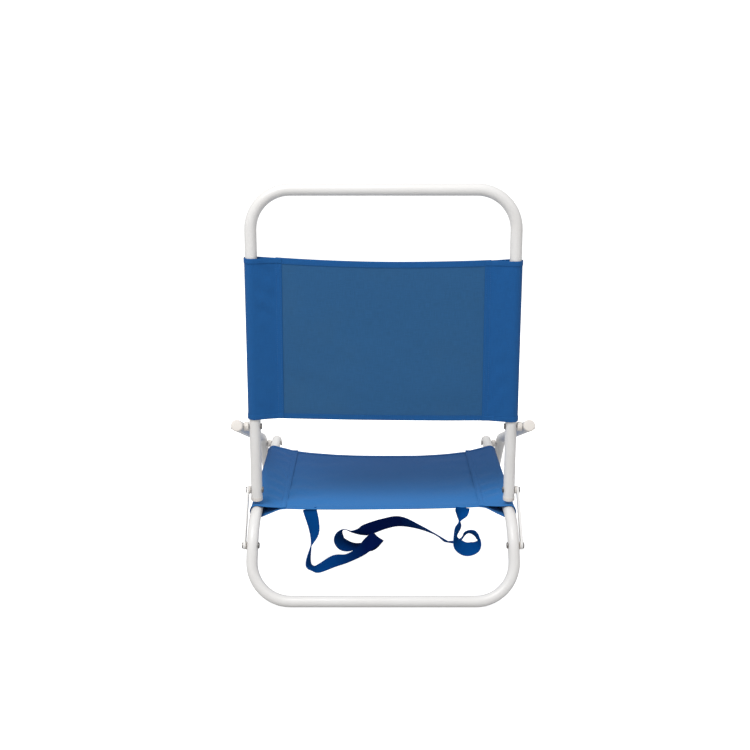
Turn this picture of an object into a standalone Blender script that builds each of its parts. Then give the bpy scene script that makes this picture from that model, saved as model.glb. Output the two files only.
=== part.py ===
"""A low folding camp chair, built as a workshop would build it.

Three bent tubes make the frame: the seat rails with the rear legs, the arms with the front legs,
and the back hoop. Rivets join them at the sides, two flat links carry the back's feet, and fabric
sleeves hold the back and the seat between the tubes. Units are metres. +Z is up, the sitter faces
-Y, and the origin is on the floor under the middle of the chair.
"""
import math

import bmesh
import bpy
from mathutils import Matrix, Vector

# Driving dimensions: the tube and its bends.
TUBE_RADIUS = 0.010
CORNER_RADIUS = 0.067
SEAT_BEND_RADIUS = 0.065
ARM_BEND_RADIUS = 0.050

# Driving dimensions: widths, each from the chair's middle to a tube's centre-line.
SEAT_HALF_WIDTH = 0.225
REAR_FOOT_FLARE = 0.004
BACK_TOP_INSET = 0.006

# Driving dimensions: the side view.
BASE_HALF_DEPTH = 0.322
FRONT_PIVOT_Y = -0.134
FRONT_PIVOT_HEIGHT = 0.1863
SEAT_SLOPE = math.radians(6)
BACK_FOOT_Y = 0.2325
BACK_HEIGHT = 0.710
BACK_RECLINE = math.radians(8.2)
ARM_SLOPE = math.radians(15.5)
ARM_PIVOT_UP = 0.1329
LINK_PIVOT_UP = 0.0127
LINK_FOOT_DROP = 0.037
FOLDED_GAP = 0.028
RAIL_FRONT_REACH = 0.018
ARM_REAR_REACH = 0.014

# Driving dimensions: fasteners, spacers, links and end caps.
RIVET_RADIUS = 0.003
RIVET_HEAD_RADIUS = 0.0055
RIVET_HEAD_HEIGHT = 0.0019
SPACER_RADIUS = 0.008
ARM_SPACER_LENGTH = 0.0080
WASHER_RADIUS = 0.007
LINK_INSET = 0.0030
LINK_THICKNESS = 0.004
LINK_HALF_WIDTH = 0.007
SOCKET_RADIUS = 0.0075
SOCKET_DEPTH = 0.009
STEM_LENGTH = 0.007
CAP_HEAD = 0.007
CAP_LIP = 0.0004
CAP_DOME = 0.003
FRONT_CAP_HEAD = 0.004
FOOT_CAP_DOME = 0.001

# Driving dimensions: fabric and webbing.
SLEEVE_WALL = 0.0016
SLEEVE_CLEARANCE = 0.0006
FLAP_HALF_THICKNESS = 0.0012
SLEEVE_WIDTH = 0.051
PANEL_THICKNESS = 0.0014
BACK_FABRIC_LOW = 0.0138
BACK_FABRIC_HEIGHT = 0.282
SEAT_FABRIC_FRONT = 0.052
SEAT_FABRIC_REAR = 0.0127
SEAT_SLEEVE_REAR = 0.0115
SEAT_FRONT_SAG = 0.012
SEAT_REAR_SAG = 0.002
STRAP_WIDTH = 0.025
STRAP_THICKNESS = 0.0012

# Clearances: between touching pieces, from the back to the arm's spacer, and under the back's feet.
GAP = 0.0003
PIVOT_GAP = 0.0011
STAND_GAP = 0.0075

# Mesh fineness.
TUBE_RESOLUTION = 6
ARC_STEP = math.radians(7.5)
TURNED_STEPS = 16
OUTLINE_STEPS = 8
SAG_GRID = (8, 6)
STRAP_STEPS = 2

REAR_FOOT_HALF_WIDTH = SEAT_HALF_WIDTH + REAR_FOOT_FLARE
BACK_TOP_HALF_WIDTH = SEAT_HALF_WIDTH - BACK_TOP_INSET
ARM_HALF_WIDTH = SEAT_HALF_WIDTH + 2 * TUBE_RADIUS + ARM_SPACER_LENGTH
LINK_INNER = SEAT_HALF_WIDTH + TUBE_RADIUS + LINK_INSET
TUBE_SIDES = 4 + 2 * TUBE_RESOLUTION
FLOOR_HEIGHT = TUBE_RADIUS * math.cos(math.pi / TUBE_SIDES)

# The carry strap: the middle of the webbing, in millimetres from the middle of the seat's rear
# hem, and the way that its width points.
STRAP_ROUTE = [
    ((131, 3, -6), (-1.0, 0.0, 0.0)),
    ((124, 4, -41), (-0.8, 0.6, 0.0)),
    ((130, 5, -71), (0.0, 1.0, 0.0)),
    ((135, 6, -103), (0.3, 1.0, 0.0)),
    ((126, 6, -114), (0.1, 1.0, 0.0)),
    ((114, 6, -113), (0.1, 0.9, -0.4)),
    ((88, 6, -100), (-0.2, 0.8, -0.6)),
    ((65, 6, -95), (-0.1, 0.9, -0.3)),
    ((41, 6, -82), (-0.3, 0.9, -0.4)),
    ((28, 6, -70), (-0.5, 0.6, -0.6)),
    ((17, 5, -61), (-0.7, 0.2, -0.7)),
    ((9, -1, -57), (-0.8, 0.1, -0.6)),
    ((13, -9, -65), (-0.9, 0.2, -0.3)),
    ((25, -17, -78), (-0.4, 0.8, -0.4)),
    ((49, -22, -81), (0.0, 1.0, -0.1)),
    ((72, -13, -75), (0.2, 0.7, -0.7)),
    ((80, -9, -63), (0.6, 0.7, -0.3)),
    ((79, -7, -50), (0.4, 0.9, 0.1)),
    ((69, -5, -44), (0.1, 0.9, 0.3)),
    ((55, -3, -48), (0.0, 0.9, 0.4)),
    ((41, 0, -47), (0.0, 0.7, 0.7)),
    ((28, 2, -42), (0.1, 0.3, 0.9)),
    ((-1, 4, -31), (0.1, 0.4, 0.9)),
    ((-30, 4, -26), (0.0, 0.5, 0.9)),
    ((-64, 2, -37), (-0.1, 0.8, 0.5)),
    ((-97, -4, -54), (-0.1, 1.0, 0.3)),
    ((-118, -10, -69), (0.0, 0.9, 0.4)),
    ((-129, -18, -73), (0.0, 1.0, 0.1)),
    ((-142, -25, -71), (0.1, 1.0, 0.1)),
    ((-149, -22, -62), (0.1, 1.0, 0.1)),
    ((-157, -15, -54), (0.1, 0.9, 0.4)),
    ((-169, -4, -54), (-0.1, 0.8, 0.6)),
    ((-174, 2, -63), (-0.1, 1.0, 0.0)),
    ((-167, 5, -74), (-0.2, 0.8, -0.6)),
    ((-151, 5, -78), (0.0, 0.5, -0.9)),
    ((-137, 5, -70), (0.3, 0.7, -0.7)),
    ((-131, 5, -57), (0.3, 0.9, -0.2)),
    ((-136, 4, -37), (0.5, 0.8, 0.0)),
    ((-136, 3, -22), (0.0, 1.0, 0.0)),
    ((-143, 3, -6), (-1.0, 0.0, 0.0)),
]


# ---- The side view: points are (y, z), worked out from the driving dimensions. ----

def meet(first, first_way, second, second_way):
    """Where two lines of the side view cross."""
    across = second - first
    turn = first_way.x * second_way.y - first_way.y * second_way.x
    along = (across.x * second_way.y - across.y * second_way.x) / turn
    return first + first_way * along


RAIL_WAY = Vector((math.cos(SEAT_SLOPE), -math.sin(SEAT_SLOPE)))
RAIL_NORMAL = Vector((math.sin(SEAT_SLOPE), math.cos(SEAT_SLOPE)))
BACK_WAY = Vector((math.sin(BACK_RECLINE), math.cos(BACK_RECLINE)))
ARM_WAY = Vector((math.cos(ARM_SLOPE), math.sin(ARM_SLOPE)))

FRONT_PIVOT = Vector((FRONT_PIVOT_Y, FRONT_PIVOT_HEIGHT))
REAR_FLOOR = Vector((BASE_HALF_DEPTH, FLOOR_HEIGHT))
FRONT_FLOOR = Vector((-BASE_HALF_DEPTH, FLOOR_HEIGHT))

RAIL_UNDER_BACK = FRONT_PIVOT + RAIL_WAY * ((BACK_FOOT_Y - FRONT_PIVOT_Y) / RAIL_WAY.x)
BACK_STAND = RAIL_UNDER_BACK + Vector((0, TUBE_RADIUS / RAIL_WAY.x + STAND_GAP))
BACK_FOOT = BACK_STAND + BACK_WAY * CAP_HEAD
ARM_PIVOT = BACK_FOOT + BACK_WAY * ARM_PIVOT_UP
LINK_TOP = BACK_FOOT + BACK_WAY * LINK_PIVOT_UP
BACK_TOP = BACK_FOOT + BACK_WAY * ((BACK_HEIGHT - BACK_FOOT.y) / BACK_WAY.y)


def link_foot():
    """The link's lower pivot, which lets the back lie FOLDED_GAP above the seat rails.

    In the rails' own frame, the folded back is parallel to the rails. The pivot is as far from
    the link's top when open as when folded, so it is on the bisector between the two places.
    """
    arm = ARM_PIVOT - FRONT_PIVOT
    folded_arm = Vector((math.sqrt(arm.length_squared - FOLDED_GAP ** 2), FOLDED_GAP))
    folded_top = folded_arm + Vector(((LINK_TOP - ARM_PIVOT).length, 0))
    top = LINK_TOP - FRONT_PIVOT
    open_top = Vector((top.dot(RAIL_WAY), top.dot(RAIL_NORMAL)))
    chord = folded_top - open_top
    bisector = Vector((-chord.y, chord.x))
    level = Vector((0, -LINK_FOOT_DROP))
    foot = meet((open_top + folded_top) / 2, bisector, level, Vector((1, 0)))
    return FRONT_PIVOT + RAIL_WAY * foot.x + RAIL_NORMAL * foot.y


SEAT_REAR_HEM = RAIL_UNDER_BACK - RAIL_WAY * SEAT_FABRIC_REAR
LINK_FOOT = link_foot()
REAR_BEND = meet(FRONT_PIVOT, RAIL_WAY, REAR_FLOOR, LINK_FOOT - REAR_FLOOR)
FRONT_BEND = meet(ARM_PIVOT, ARM_WAY, FRONT_FLOOR, FRONT_PIVOT - FRONT_FLOOR)


def leg_half_width(height):
    """The rear leg's half width: it splays a little from the rear bend to the floor."""
    share = (REAR_BEND.y - height) / (REAR_BEND.y - FLOOR_HEIGHT)
    return SEAT_HALF_WIDTH + (REAR_FOOT_HALF_WIDTH - SEAT_HALF_WIDTH) * share


def back_half_width(height):
    """The back hoop's half width: its sides draw in towards the top rail."""
    share = (height - BACK_FOOT.y) / (BACK_HEIGHT - BACK_FOOT.y)
    return SEAT_HALF_WIDTH + (BACK_TOP_HALF_WIDTH - SEAT_HALF_WIDTH) * share


def in_space(x, point):
    """A side view point, at x from the chair's middle."""
    return Vector((x, point.x, point.y))


# ---- The scene, the collections and the materials. ----

for old in list(bpy.data.objects):
    bpy.data.objects.remove(old, do_unlink=True)

PARTS = bpy.data.collections.new("folding_camp_chair")
CUTTERS = bpy.data.collections.new("cutters")
for new_collection in (PARTS, CUTTERS):
    bpy.context.scene.collection.children.link(new_collection)


def finish_of(name, colour, roughness, metallic=0.0):
    """A material with one Principled BSDF."""
    material = bpy.data.materials.new(name)
    material.use_nodes = True
    shader = material.node_tree.nodes["Principled BSDF"]
    shader.inputs["Base Color"].default_value = (*colour, 1)
    shader.inputs["Roughness"].default_value = roughness
    shader.inputs["Metallic"].default_value = metallic
    return material


WHITE_PAINT = finish_of("white_powder_coat", (0.78, 0.78, 0.76), 0.35)
WHITE_PLASTIC = finish_of("white_plastic", (0.72, 0.72, 0.70), 0.45)
RIVET_STEEL = finish_of("rivet_steel", (0.16, 0.16, 0.17), 0.40, 0.8)
SLEEVE_FABRIC = finish_of("sleeve_fabric", (0.020, 0.120, 0.350), 0.85)
PANEL_FABRIC = finish_of("panel_fabric", (0.035, 0.115, 0.260), 0.90)
WEBBING = finish_of("webbing", (0.010, 0.050, 0.180), 0.80)


# ---- Ways of making a piece. ----

def add_object(name, data, material, collection=PARTS):
    """A new object that holds the data, in its collection and with its material."""
    new_object = bpy.data.objects.new(name, data)
    collection.objects.link(new_object)
    if material:
        data.materials.append(material)
    return new_object


def shade(mesh):
    """Smooth shading, with edges sharper than 30 degrees kept."""
    mesh.shade_smooth()
    mesh.set_sharp_from_angle(angle=math.radians(30))


def as_mesh(curve_object):
    """The curve object as a mesh object of the same name, with its caps welded on."""
    bpy.context.view_layer.update()
    evaluated = curve_object.evaluated_get(bpy.context.evaluated_depsgraph_get())
    mesh = bpy.data.meshes.new_from_object(evaluated)
    name, place = curve_object.name, curve_object.matrix_world.copy()
    bpy.data.objects.remove(curve_object, do_unlink=True)
    shell = bmesh.new()
    shell.from_mesh(mesh)
    bmesh.ops.remove_doubles(shell, verts=shell.verts, dist=0.00001)
    bmesh.ops.recalc_face_normals(shell, faces=shell.faces)
    shell.to_mesh(mesh)
    shell.free()
    shade(mesh)
    mesh_object = bpy.data.objects.new(name, mesh)
    mesh_object.matrix_world = place
    PARTS.objects.link(mesh_object)
    return mesh_object


def rounded_route(corners, radii):
    """Straight runs between the corners, with an arc of its own radius at each inner corner."""
    route = [corners[0]]
    for before, corner, after, radius in zip(corners, corners[1:], corners[2:], radii):
        back = (before - corner).normalized()
        onward = (after - corner).normalized()
        half_angle = back.angle(onward) / 2
        centre = corner + (back + onward).normalized() * radius / math.sin(half_angle)
        spoke = corner + back * radius / math.tan(half_angle) - centre
        axis = spoke.cross(-back)
        turn = math.pi - 2 * half_angle
        steps = max(2, round(turn / ARC_STEP))
        for step in range(steps + 1):
            route.append(centre + Matrix.Rotation(turn * step / steps, 3, axis) @ spoke)
    route.append(corners[-1])
    return route


def mirrored(half):
    """The corners of one side, then the same corners of the other side in reverse."""
    return half + [Vector((-corner.x, corner.y, corner.z)) for corner in reversed(half)]


def tube_curve(name, route, tilt):
    """A round tube along the route, as a curve object."""
    curve = bpy.data.curves.new(name, "CURVE")
    curve.dimensions = "3D"
    curve.bevel_depth = TUBE_RADIUS
    curve.bevel_resolution = TUBE_RESOLUTION
    curve.use_fill_caps = True
    spline = curve.splines.new("POLY")
    spline.points.add(len(route) - 1)
    for point, place in zip(spline.points, route):
        point.co = (*place, 1)
        point.tilt = tilt
    return add_object(name, curve, WHITE_PAINT)


def flat_turn(mesh):
    """How far the section is turned from having a flat side straight down, on the middle run."""
    lowest = min((polygon for polygon in mesh.polygons if abs(polygon.center.x) < TUBE_RADIUS),
                 key=lambda polygon: polygon.normal.z)
    return math.atan2(lowest.normal.y, -lowest.normal.z)


def bent_tube(name, route):
    """A bent tube whose middle run, the one across the chair, has a flat side underneath."""
    trial = as_mesh(tube_curve(name, route, 0.0))
    turn = flat_turn(trial.data)
    bpy.data.objects.remove(trial, do_unlink=True)
    for tilt in (turn, -turn):
        tube = as_mesh(tube_curve(name, route, tilt))
        if abs(flat_turn(tube.data)) < abs(turn) / 4 + 0.0001:
            break
        bpy.data.objects.remove(tube, do_unlink=True)
    tube.name = name
    return tube


def cut(target, rods):
    """Cuts round holes, each a (centre, way, radius, length) rod, out of the target."""
    shell = bmesh.new()
    for centre, way, radius, length in rods:
        turn = way.to_track_quat("Z", "Y").to_matrix().to_4x4()
        bmesh.ops.create_cone(
            shell, cap_ends=True, segments=TURNED_STEPS, radius1=radius, radius2=radius,
            depth=length, matrix=Matrix.Translation(centre) @ turn)
    mesh = bpy.data.meshes.new(target.name + "_cutter")
    shell.to_mesh(mesh)
    shell.free()
    cutter = add_object(mesh.name, mesh, None, CUTTERS)
    cutter.hide_render = True
    cutter.display_type = "WIRE"
    drill = target.modifiers.new("holes", "BOOLEAN")
    drill.operation = "DIFFERENCE"
    drill.solver = "EXACT"
    drill.object = cutter


def turned(name, profile, centre, way, material, closed=False):
    """A turned piece: the (radius, height) profile, top to bottom, spun round the way."""
    mesh = bpy.data.meshes.new(name)
    shell = bmesh.new()
    points = [shell.verts.new((radius, 0, height)) for radius, height in profile]
    for first, second in zip(points, points[1:] + points[:1] * closed):
        shell.edges.new((first, second))
    shell.to_mesh(mesh)
    shell.free()
    piece = add_object(name, mesh, material)
    spin = piece.modifiers.new("turning", "SCREW")
    spin.axis = "Z"
    spin.steps = TURNED_STEPS
    spin.render_steps = TURNED_STEPS
    spin.use_merge_vertices = True
    spin.merge_threshold = 0.00001
    spin.use_smooth_shade = True
    turn = way.to_track_quat("Z", "Y").to_matrix().to_4x4()
    piece.matrix_world = Matrix.Translation(centre) @ turn
    return piece


def ring(name, radius, length, centre, way):
    """A spacer or washer: a tube section that starts at the centre and runs along the way."""
    profile = [(radius, length), (radius, 0), (HOLE_RADIUS, 0), (HOLE_RADIUS, length)]
    return turned(name, profile, centre, way, WHITE_PLASTIC, closed=True)


def rivet(name, start, end, way, heads):
    """A rivet shank from start to end along the way, with a domed head where heads has one."""
    length = (end - start).dot(way)
    crown, rim = RIVET_HEAD_HEIGHT, RIVET_HEAD_HEIGHT * 0.35
    profile = [(0, length), (RIVET_RADIUS, length)]
    if "outer" in heads:
        profile = [(0, length + crown), (RIVET_HEAD_RADIUS * 0.65, length + crown * 0.8),
                   (RIVET_HEAD_RADIUS, length + rim), (RIVET_HEAD_RADIUS, length),
                   (RIVET_RADIUS, length)]
    if "inner" in heads:
        profile += [(RIVET_RADIUS, 0), (RIVET_HEAD_RADIUS, 0), (RIVET_HEAD_RADIUS, -rim),
                    (RIVET_HEAD_RADIUS * 0.65, -crown * 0.8), (0, -crown)]
    else:
        profile += [(RIVET_RADIUS, 0), (0, 0)]
    return turned(name, profile, start, way, RIVET_STEEL)


def end_cap(name, tube_end, way, head, dome):
    """A plastic cap: its stem is in the tube's socket, and its head closes the end."""
    stem = SOCKET_RADIUS - GAP
    rim = TUBE_RADIUS + CAP_LIP
    profile = [(0, head), (rim * 0.72, head - dome * 0.35), (rim, head - dome), (rim, GAP),
               (stem, GAP), (stem, -STEM_LENGTH), (0, -STEM_LENGTH)]
    return turned(name, profile, tube_end, way, WHITE_PLASTIC)


def flat_outline(name, outlines, thickness, material):
    """A flat piece in its own XY plane: the first outline with the rest cut out."""
    curve = bpy.data.curves.new(name, "CURVE")
    curve.dimensions = "2D"
    curve.fill_mode = "BOTH"
    curve.extrude = thickness / 2
    for outline in outlines:
        spline = curve.splines.new("POLY")
        spline.points.add(len(outline) - 1)
        for point, (x, y) in zip(spline.points, outline):
            point.co = (x, y, 0, 1)
        spline.use_cyclic_u = True
    return add_object(name, curve, material)


def arc(centre, radius, start, turn, steps):
    """Points on an arc of the outline."""
    angles = [start + turn * step / steps for step in range(steps + 1)]
    return [(centre[0] + radius * math.cos(angle), centre[1] + radius * math.sin(angle))
            for angle in angles]


def circle(centre, radius):
    """Points on a full circle of the outline."""
    return arc(centre, radius, 0, math.tau, TURNED_STEPS)[:-1]


def place_by_axes(piece, origin, x_way, y_way):
    """Puts the piece's own X and Y axes along the two ways, at the origin."""
    x_axis = x_way.normalized()
    z_axis = x_axis.cross(y_way).normalized()
    turn = Matrix((x_axis, z_axis.cross(x_axis), z_axis)).transposed().to_4x4()
    piece.matrix_world = Matrix.Translation(origin) @ turn


# ---- The frame: three bent tubes. ----

def drill_across(x, point, radius):
    """A rod for a rivet hole through the tube at x."""
    return (in_space(x, point), Vector((1, 0, 0)), radius, 4 * TUBE_RADIUS)


def socket(tube_end, way):
    """A rod for the socket in a tube's end, where the way points out of the tube."""
    return (tube_end, way, SOCKET_RADIUS, 2 * SOCKET_DEPTH)


HOLE_RADIUS = RIVET_RADIUS + GAP
SIDES = (("left", 1), ("right", -1))

RAIL_END = FRONT_PIVOT - RAIL_WAY * RAIL_FRONT_REACH
ARM_END = ARM_PIVOT + ARM_WAY * ARM_REAR_REACH


def seat_leg_frame():
    """Seat rails, rear legs and the rear floor rail, bent from one tube."""
    half = [in_space(SEAT_HALF_WIDTH, RAIL_END), in_space(SEAT_HALF_WIDTH, REAR_BEND),
            in_space(REAR_FOOT_HALF_WIDTH, REAR_FLOOR)]
    radii = [SEAT_BEND_RADIUS, CORNER_RADIUS, CORNER_RADIUS, SEAT_BEND_RADIUS]
    tube = bent_tube("seat_leg_frame", rounded_route(mirrored(half), radii))
    rods = []
    for _, side in SIDES:
        rods.append(drill_across(side * SEAT_HALF_WIDTH, FRONT_PIVOT, HOLE_RADIUS))
        rods.append(drill_across(side * leg_half_width(LINK_FOOT.y), LINK_FOOT, HOLE_RADIUS))
        rods.append(socket(in_space(side * SEAT_HALF_WIDTH, RAIL_END), in_space(0, -RAIL_WAY)))
    cut(tube, rods)


def front_leg_arm_frame():
    """Arms, front legs and the front floor rail, bent from one tube."""
    half = [in_space(ARM_HALF_WIDTH, ARM_END), in_space(ARM_HALF_WIDTH, FRONT_BEND),
            in_space(ARM_HALF_WIDTH, FRONT_FLOOR)]
    radii = [ARM_BEND_RADIUS, CORNER_RADIUS, CORNER_RADIUS, ARM_BEND_RADIUS]
    tube = bent_tube("front_leg_arm_frame", rounded_route(mirrored(half), radii))
    rods = []
    for _, side in SIDES:
        rods.append(drill_across(side * ARM_HALF_WIDTH, ARM_PIVOT, HOLE_RADIUS))
        rods.append(drill_across(side * ARM_HALF_WIDTH, FRONT_PIVOT, HOLE_RADIUS))
        rods.append(socket(in_space(side * ARM_HALF_WIDTH, ARM_END), in_space(0, ARM_WAY)))
    cut(tube, rods)


def back_side_way():
    """The way that the back's left side tube runs, from its foot to its top."""
    foot = in_space(back_half_width(BACK_FOOT.y), BACK_FOOT)
    return (in_space(BACK_TOP_HALF_WIDTH, BACK_TOP) - foot).normalized()


def back_frame():
    """The back hoop: two side tubes and the top rail."""
    half = [in_space(SEAT_HALF_WIDTH, BACK_FOOT), in_space(BACK_TOP_HALF_WIDTH, BACK_TOP)]
    tube = bent_tube("back_frame", rounded_route(mirrored(half), [CORNER_RADIUS] * 2))
    rods = []
    for _, side in SIDES:
        for pivot in (ARM_PIVOT, LINK_TOP):
            rods.append(drill_across(side * back_half_width(pivot.y), pivot, HOLE_RADIUS))
        way = back_side_way()
        foot = in_space(side * SEAT_HALF_WIDTH, BACK_FOOT)
        rods.append(socket(foot, Vector((-side * way.x, -way.y, -way.z))))
    cut(tube, rods)


# ---- Links, spacers, washers, rivets and caps: one of each on either side. ----

def link(name, side):
    """A flat link from the back's foot to the rear leg."""
    run = LINK_TOP - LINK_FOOT
    half_turn = math.pi
    outline = (arc((0, 0), LINK_HALF_WIDTH, half_turn / 2, half_turn, OUTLINE_STEPS)
               + arc((run.length, 0), LINK_HALF_WIDTH, -half_turn / 2, half_turn, OUTLINE_STEPS))
    holes = [circle((0, 0), HOLE_RADIUS), circle((run.length, 0), HOLE_RADIUS)]
    bar = flat_outline(name, [outline] + holes, LINK_THICKNESS, WHITE_PAINT)
    centre = in_space(side * (LINK_INNER + LINK_THICKNESS / 2), LINK_FOOT)
    across = Vector((run.y, -run.x))
    place_by_axes(bar, centre, in_space(0, run), in_space(0, across))
    as_mesh(bar)


def side_fittings(label, side):
    """Everything that joins the tubes on one side, from the rivets to the end caps."""
    out = Vector((side, 0, 0))
    back_at_arm = back_half_width(ARM_PIVOT.y) + TUBE_RADIUS
    back_at_link = back_half_width(LINK_TOP.y) + TUBE_RADIUS
    leg_at_link = leg_half_width(LINK_FOOT.y) + TUBE_RADIUS
    rail = SEAT_HALF_WIDTH + TUBE_RADIUS
    arm_inner = ARM_HALF_WIDTH - TUBE_RADIUS
    arm_outer = ARM_HALF_WIDTH + TUBE_RADIUS
    link_outer = LINK_INNER + LINK_THICKNESS
    across = 2 * TUBE_RADIUS

    def at(x, point):
        return in_space(side * x, point)

    # Arm to back: the spacer and the outer rivet stay on the arm, the inner rivet on the back.
    ring(f"arm_spacer_{label}", SPACER_RADIUS, arm_inner - back_at_arm - GAP - PIVOT_GAP,
         at(back_at_arm + PIVOT_GAP, ARM_PIVOT), out)
    rivet(f"arm_rivet_{label}", at(back_at_arm + PIVOT_GAP, ARM_PIVOT),
          at(arm_outer + GAP, ARM_PIVOT), out, ("outer",))
    rivet(f"arm_rivet_inner_{label}", at(back_at_arm - across - GAP, ARM_PIVOT),
          at(back_at_arm, ARM_PIVOT), out, ("inner",))

    # Arm to seat rail, at the front.
    ring(f"seat_spacer_{label}", SPACER_RADIUS, arm_inner - rail - 2 * GAP,
         at(rail + GAP, FRONT_PIVOT), out)
    rivet(f"seat_rivet_{label}", at(rail - across - GAP, FRONT_PIVOT),
          at(arm_outer + GAP, FRONT_PIVOT), out, ("inner", "outer"))

    # Link to back and link to rear leg.
    ring(f"link_upper_washer_{label}", WASHER_RADIUS, LINK_INNER - back_at_link - 2 * GAP,
         at(back_at_link + GAP, LINK_TOP), out)
    rivet(f"link_upper_rivet_{label}", at(back_at_link - across - GAP, LINK_TOP),
          at(link_outer + GAP, LINK_TOP), out, ("inner", "outer"))
    ring(f"link_lower_washer_{label}", WASHER_RADIUS, LINK_INNER - leg_at_link - 2 * GAP,
         at(leg_at_link + GAP, LINK_FOOT), out)
    rivet(f"link_lower_rivet_{label}", at(leg_at_link - across - GAP, LINK_FOOT),
          at(link_outer + GAP, LINK_FOOT), out, ("inner", "outer"))
    link(f"link_{label}", side)

    # Caps in the tube ends.
    end_cap(f"arm_cap_{label}", at(ARM_HALF_WIDTH, ARM_END), in_space(0, ARM_WAY),
            CAP_HEAD, CAP_DOME)
    end_cap(f"seat_rail_cap_{label}", at(SEAT_HALF_WIDTH, RAIL_END), in_space(0, -RAIL_WAY),
            FRONT_CAP_HEAD, CAP_DOME)
    way = back_side_way()
    down = Vector((-side * way.x, -way.y, -way.z))
    end_cap(f"back_foot_cap_{label}", at(SEAT_HALF_WIDTH, BACK_FOOT), down,
            CAP_HEAD - GAP, FOOT_CAP_DOME)


# ---- Fabric: a sleeve on each side tube and a panel between the sleeves. ----

def sleeve(name, low_end, high_end, inward, face):
    """A fabric sleeve round a side tube, from end to end, with its flap pointing inward."""
    radius = TUBE_RADIUS + SLEEVE_CLEARANCE + SLEEVE_WALL
    flare = math.asin(FLAP_HALF_THICKNESS / radius)
    outline = ([(SLEEVE_WIDTH, -FLAP_HALF_THICKNESS), (SLEEVE_WIDTH, FLAP_HALF_THICKNESS)]
               + arc((0, 0), radius, flare, math.tau - 2 * flare, 2 * OUTLINE_STEPS))
    hole = circle((0, 0), TUBE_RADIUS + SLEEVE_CLEARANCE)
    run = high_end - low_end
    tube = flat_outline(name, [outline, hole], run.length, SLEEVE_FABRIC)
    across = inward - run * inward.dot(run) / run.length_squared
    place_by_axes(tube, (low_end + high_end) / 2, across, face)
    as_mesh(tube)


def panel(name, corners, sags, material):
    """A thin panel between four corners, low pair first, which sags by its own depth at an end."""
    low_left, low_right, high_left, high_right = corners
    columns, rows = SAG_GRID if max(sags) else (1, 1)
    mesh = bpy.data.meshes.new(name)
    shell = bmesh.new()
    bmesh.ops.create_grid(shell, x_segments=columns, y_segments=rows, size=1)
    for vert in shell.verts:
        across, along = (vert.co.x + 1) / 2, (vert.co.y + 1) / 2
        low = low_left.lerp(low_right, across)
        high = high_left.lerp(high_right, across)
        sag = (sags[0] * (1 - along) + sags[1] * along) * (1 - vert.co.x ** 2)
        vert.co = low.lerp(high, along) - Vector((0, 0, sag))
    shell.to_mesh(mesh)
    shell.free()
    sheet = add_object(name, mesh, material)
    wall = sheet.modifiers.new("thickness", "SOLIDIFY")
    wall.thickness = PANEL_THICKNESS
    wall.offset = 0


def back_fabric():
    """The back's two sleeves and its centre panel."""
    low = BACK_WAY * (ARM_PIVOT_UP + BACK_FABRIC_LOW) + BACK_FOOT
    high = low + BACK_WAY * BACK_FABRIC_HEIGHT
    face = Vector((0, BACK_WAY.y, -BACK_WAY.x))
    edge = SLEEVE_WIDTH + GAP
    corners = []
    for point in (low, high):
        for _, side in SIDES:
            corners.append(in_space(side * (back_half_width(point.y) - edge), point))
    panel("back_panel", corners, (0, 0), PANEL_FABRIC)
    for label, side in SIDES:
        ends = [in_space(side * back_half_width(point.y), point) for point in (low, high)]
        sleeve(f"back_sleeve_{label}", *ends, Vector((-side, 0, 0)), face)


def seat_fabric():
    """The seat's two sleeves and its centre panel, which sags most at the front."""
    front = FRONT_PIVOT + RAIL_WAY * SEAT_FABRIC_FRONT
    edge = SEAT_HALF_WIDTH - SLEEVE_WIDTH - GAP
    corners = [in_space(side * edge, point)
               for point in (SEAT_REAR_HEM, front) for _, side in SIDES]
    panel("seat_panel", corners, (SEAT_REAR_SAG, SEAT_FRONT_SAG), PANEL_FABRIC)
    sleeve_rear = RAIL_UNDER_BACK + RAIL_WAY * SEAT_SLEEVE_REAR
    for label, side in SIDES:
        ends = [in_space(side * SEAT_HALF_WIDTH, point) for point in (sleeve_rear, front)]
        sleeve(f"seat_sleeve_{label}", *ends, Vector((-side, 0, 0)), in_space(0, RAIL_NORMAL))


# ---- The carry strap. ----

def smooth(values, position):
    """The value at a position along the list, on a smooth curve through all its values."""
    index = min(int(position), len(values) - 2)
    share = position - index
    before = values[max(index - 1, 0)]
    first, second = values[index], values[index + 1]
    after = values[min(index + 2, len(values) - 1)]
    return 0.5 * (2 * first + (second - before) * share
                  + (2 * before - 5 * first + 4 * second - after) * share ** 2
                  + (3 * first - before - 3 * second + after) * share ** 3)


def strap_sections():
    """The middle, the width's way and the face's way of the webbing, all along its route."""
    hem = in_space(0, SEAT_REAR_HEM)
    middles = [hem + Vector(place) / 1000 for place, _ in STRAP_ROUTE]
    widths = [Vector(way).normalized() for _, way in STRAP_ROUTE]
    count = (len(STRAP_ROUTE) - 1) * STRAP_STEPS
    positions = [step / STRAP_STEPS for step in range(count + 1)]
    line = [smooth(middles, position) for position in positions]
    for number, position in enumerate(positions):
        run = line[min(number + 1, count)] - line[max(number - 1, 0)]
        width = smooth(widths, position)
        face = run.cross(width).normalized()
        yield line[number], face.cross(run).normalized(), face


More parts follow.
